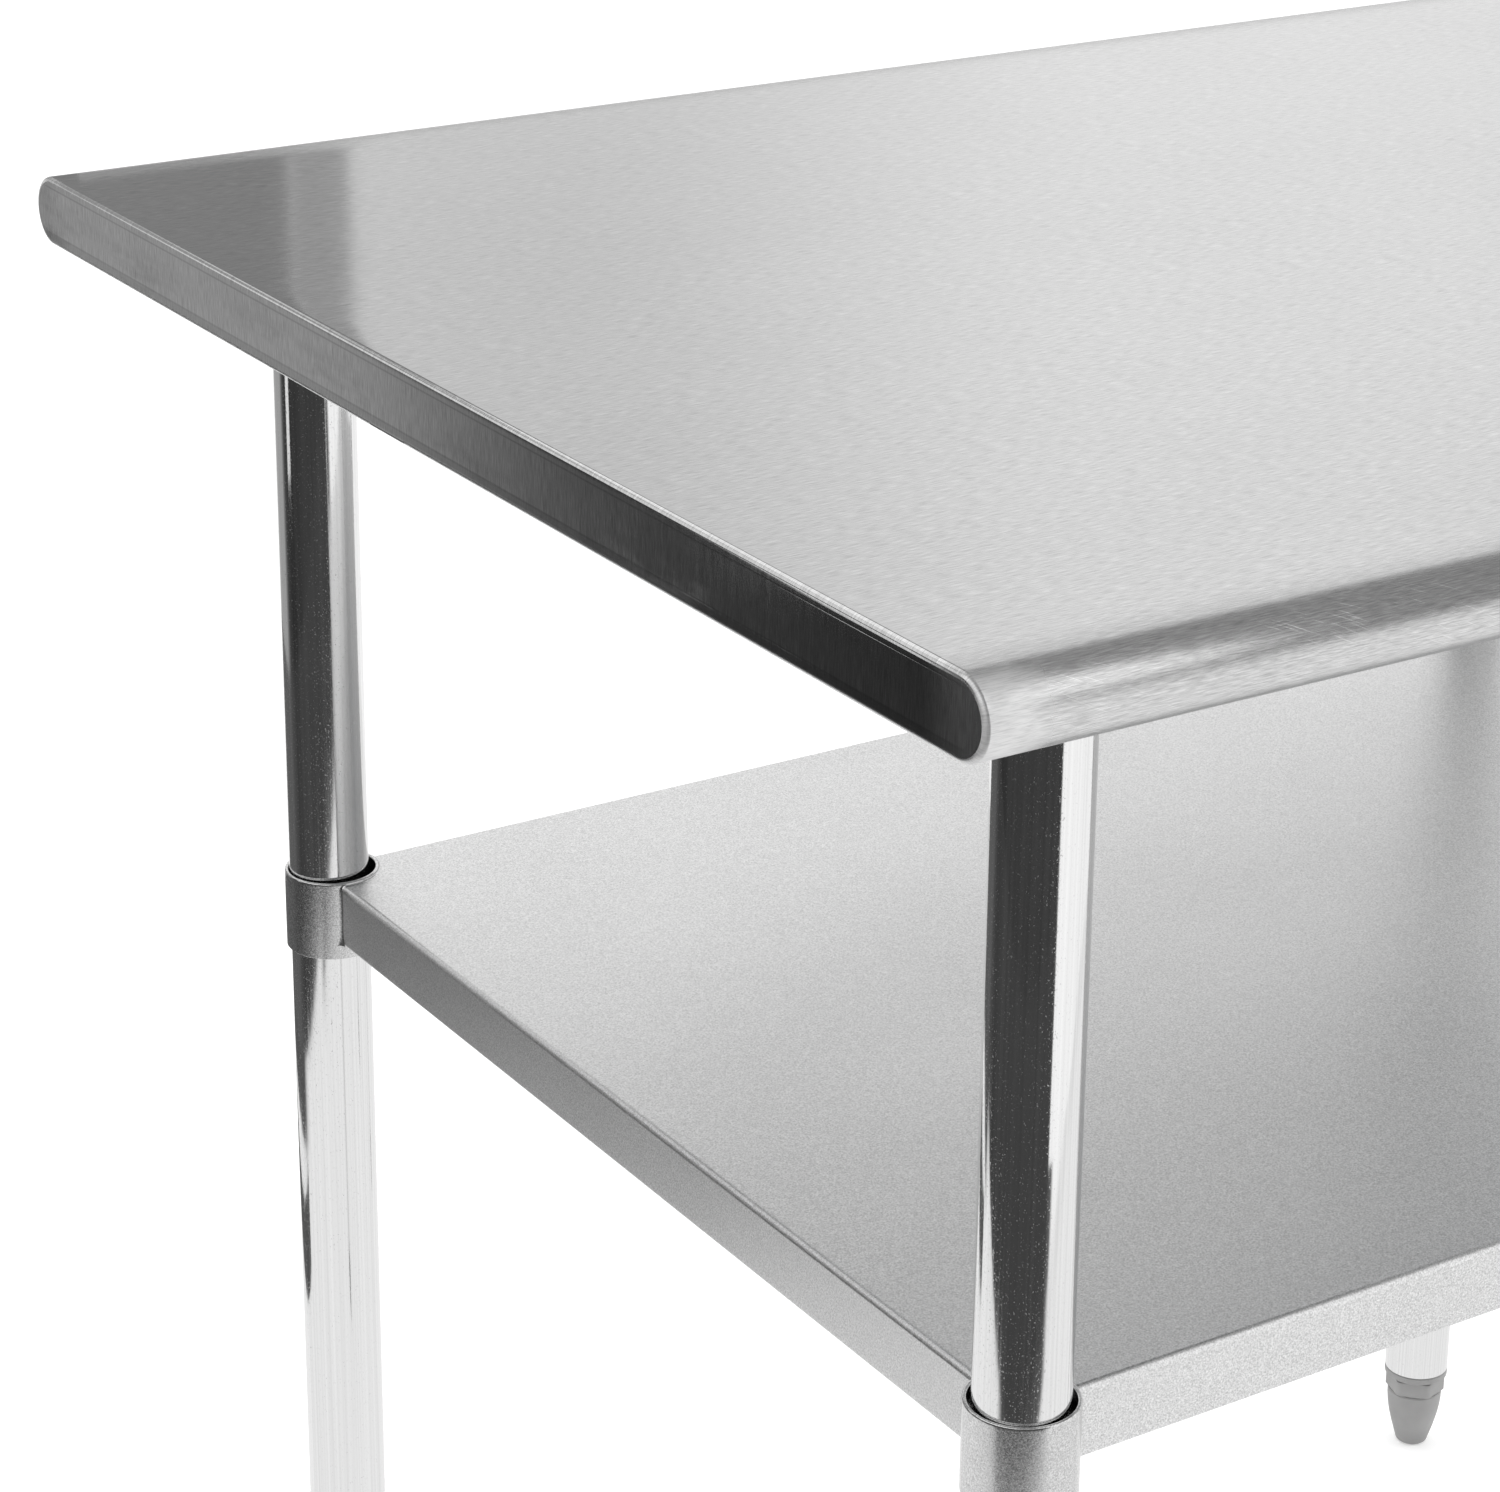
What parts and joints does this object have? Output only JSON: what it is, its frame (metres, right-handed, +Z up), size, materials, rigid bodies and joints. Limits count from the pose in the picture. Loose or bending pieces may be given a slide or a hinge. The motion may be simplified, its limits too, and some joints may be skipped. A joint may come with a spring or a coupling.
{
  "type": "stainless work table",
  "caption": "Stainless kitchen work table with rolled front and back edges, round tube legs, bullet feet and an undershelf that clamps to the legs at any height.",
  "frame": {"origin": "on the floor, under the middle of the top", "axes": "+X along the length to the right, +Y to the back, +Z up"},
  "size_m": [0.9144, 0.762, 0.889],
  "materials": {
    "top_sheet": "brushed stainless sheet, grain along the length",
    "leg_tube": "bright polished tube",
    "shelf_sheet": "fine satin sheet",
    "collar_satin": "satin, with a bright rim",
    "channel_zinc": "galvanised sheet",
    "socket_casting": "plain die casting",
    "fastener_zinc": "bright zinc plate",
    "set_screw": "black oxide",
    "foot_plastic": "moulded grey plastic"
  },
  "bodies": {
    "frame": {"table_top": "top_sheet", "cross_channel_left": "channel_zinc", "cross_channel_right": "channel_zinc", "centre_channel": "channel_zinc", "channel_nut_01": "fastener_zinc", "channel_nut_02": "fastener_zinc", "channel_nut_03": "fastener_zinc", "channel_nut_04": "fastener_zinc", "channel_nut_05": "fastener_zinc", "channel_nut_06": "fastener_zinc", "channel_nut_07": "fastener_zinc", "channel_nut_08": "fastener_zinc", "channel_nut_09": "fastener_zinc", "channel_nut_10": "fastener_zinc", "channel_nut_11": "fastener_zinc", "channel_nut_12": "fastener_zinc", "leg_socket_front_left": "socket_casting", "socket_screw_front_left": "set_screw", "leg_front_left": "leg_tube", "foot_insert_front_left": "foot_plastic", "leg_socket_front_right": "socket_casting", "socket_screw_front_right": "set_screw", "leg_front_right": "leg_tube", "foot_insert_front_right": "foot_plastic", "leg_socket_back_left": "socket_casting", "socket_screw_back_left": "set_screw", "leg_back_left": "leg_tube", "foot_insert_back_left": "foot_plastic", "leg_socket_back_right": "socket_casting", "socket_screw_back_right": "set_screw", "leg_back_right": "leg_tube", "foot_insert_back_right": "foot_plastic"},
    "shelf": {"undershelf": "shelf_sheet", "shelf_channel": "channel_zinc", "shelf_collar_front_left": "collar_satin", "shelf_collar_front_right": "collar_satin", "shelf_collar_back_left": "collar_satin", "shelf_collar_back_right": "collar_satin", "collar_nut_front_left": "fastener_zinc", "collar_nut_front_right": "fastener_zinc", "collar_nut_back_left": "fastener_zinc", "collar_nut_back_right": "fastener_zinc"},
    "foot_stem_front_left": {"foot_stem_front_left": "fastener_zinc"},
    "foot_front_left": {"bullet_foot_front_left": "foot_plastic"},
    "foot_stem_front_right": {"foot_stem_front_right": "fastener_zinc"},
    "foot_front_right": {"bullet_foot_front_right": "foot_plastic"},
    "foot_stem_back_left": {"foot_stem_back_left": "fastener_zinc"},
    "foot_back_left": {"bullet_foot_back_left": "foot_plastic"},
    "foot_stem_back_right": {"foot_stem_back_right": "fastener_zinc"},
    "foot_back_right": {"bullet_foot_back_right": "foot_plastic"},
    "collar_screw_front_left": {"collar_screw_front_left": "set_screw"},
    "collar_screw_front_right": {"collar_screw_front_right": "set_screw"},
    "collar_screw_back_left": {"collar_screw_back_left": "set_screw"},
    "collar_screw_back_right": {"collar_screw_back_right": "set_screw"}
  },
  "joints": [
    {"name": "shelf_height", "type": "slide", "parent": "frame", "child": "shelf", "axis": [0, 0, 1], "range_m": [-0.4, 0.25]},
    {"name": "foot_travel_front_left", "type": "slide", "parent": "frame", "child": "foot_stem_front_left", "axis": [0, 0, 1], "range_m": [-0.025, 0]},
    {"name": "foot_turn_front_left", "type": "hinge", "parent": "foot_stem_front_left", "child": "foot_front_left", "pos_m": [-0.3642, -0.287, 0.024], "axis": [0, 0, 1], "range_deg": [-6000, 0]},
    {"name": "foot_travel_front_right", "type": "slide", "parent": "frame", "child": "foot_stem_front_right", "axis": [0, 0, 1], "range_m": [-0.025, 0]},
    {"name": "foot_turn_front_right", "type": "hinge", "parent": "foot_stem_front_right", "child": "foot_front_right", "pos_m": [0.3642, -0.287, 0.024], "axis": [0, 0, 1], "range_deg": [-6000, 0]},
    {"name": "foot_travel_back_left", "type": "slide", "parent": "frame", "child": "foot_stem_back_left", "axis": [0, 0, 1], "range_m": [-0.025, 0]},
    {"name": "foot_turn_back_left", "type": "hinge", "parent": "foot_stem_back_left", "child": "foot_back_left", "pos_m": [-0.3642, 0.287, 0.024], "axis": [0, 0, 1], "range_deg": [-6000, 0]},
    {"name": "foot_travel_back_right", "type": "slide", "parent": "frame", "child": "foot_stem_back_right", "axis": [0, 0, 1], "range_m": [-0.025, 0]},
    {"name": "foot_turn_back_right", "type": "hinge", "parent": "foot_stem_back_right", "child": "foot_back_right", "pos_m": [0.3642, 0.287, 0.024], "axis": [0, 0, 1], "range_deg": [-6000, 0]},
    {"name": "collar_screw_out_front_left", "type": "slide", "parent": "shelf", "child": "collar_screw_front_left", "axis": [0.7071, 0.7071, 0], "range_m": [0, 0.004]},
    {"name": "collar_screw_out_front_right", "type": "slide", "parent": "shelf", "child": "collar_screw_front_right", "axis": [-0.7071, 0.7071, 0], "range_m": [0, 0.004]},
    {"name": "collar_screw_out_back_left", "type": "slide", "parent": "shelf", "child": "collar_screw_back_left", "axis": [0.7071, -0.7071, 0], "range_m": [0, 0.004]},
    {"name": "collar_screw_out_back_right", "type": "slide", "parent": "shelf", "child": "collar_screw_back_right", "axis": [-0.7071, -0.7071, 0], "range_m": [0, 0.004]}
  ],
  "couplings": [
    {"joint": "foot_turn_front_left", "follows": "foot_travel_front_left", "rad_per_m": 4188.8},
    {"joint": "foot_turn_front_right", "follows": "foot_travel_front_right", "rad_per_m": 4188.8},
    {"joint": "foot_turn_back_left", "follows": "foot_travel_back_left", "rad_per_m": 4188.8},
    {"joint": "foot_turn_back_right", "follows": "foot_travel_back_right", "rad_per_m": 4188.8}
  ]
}
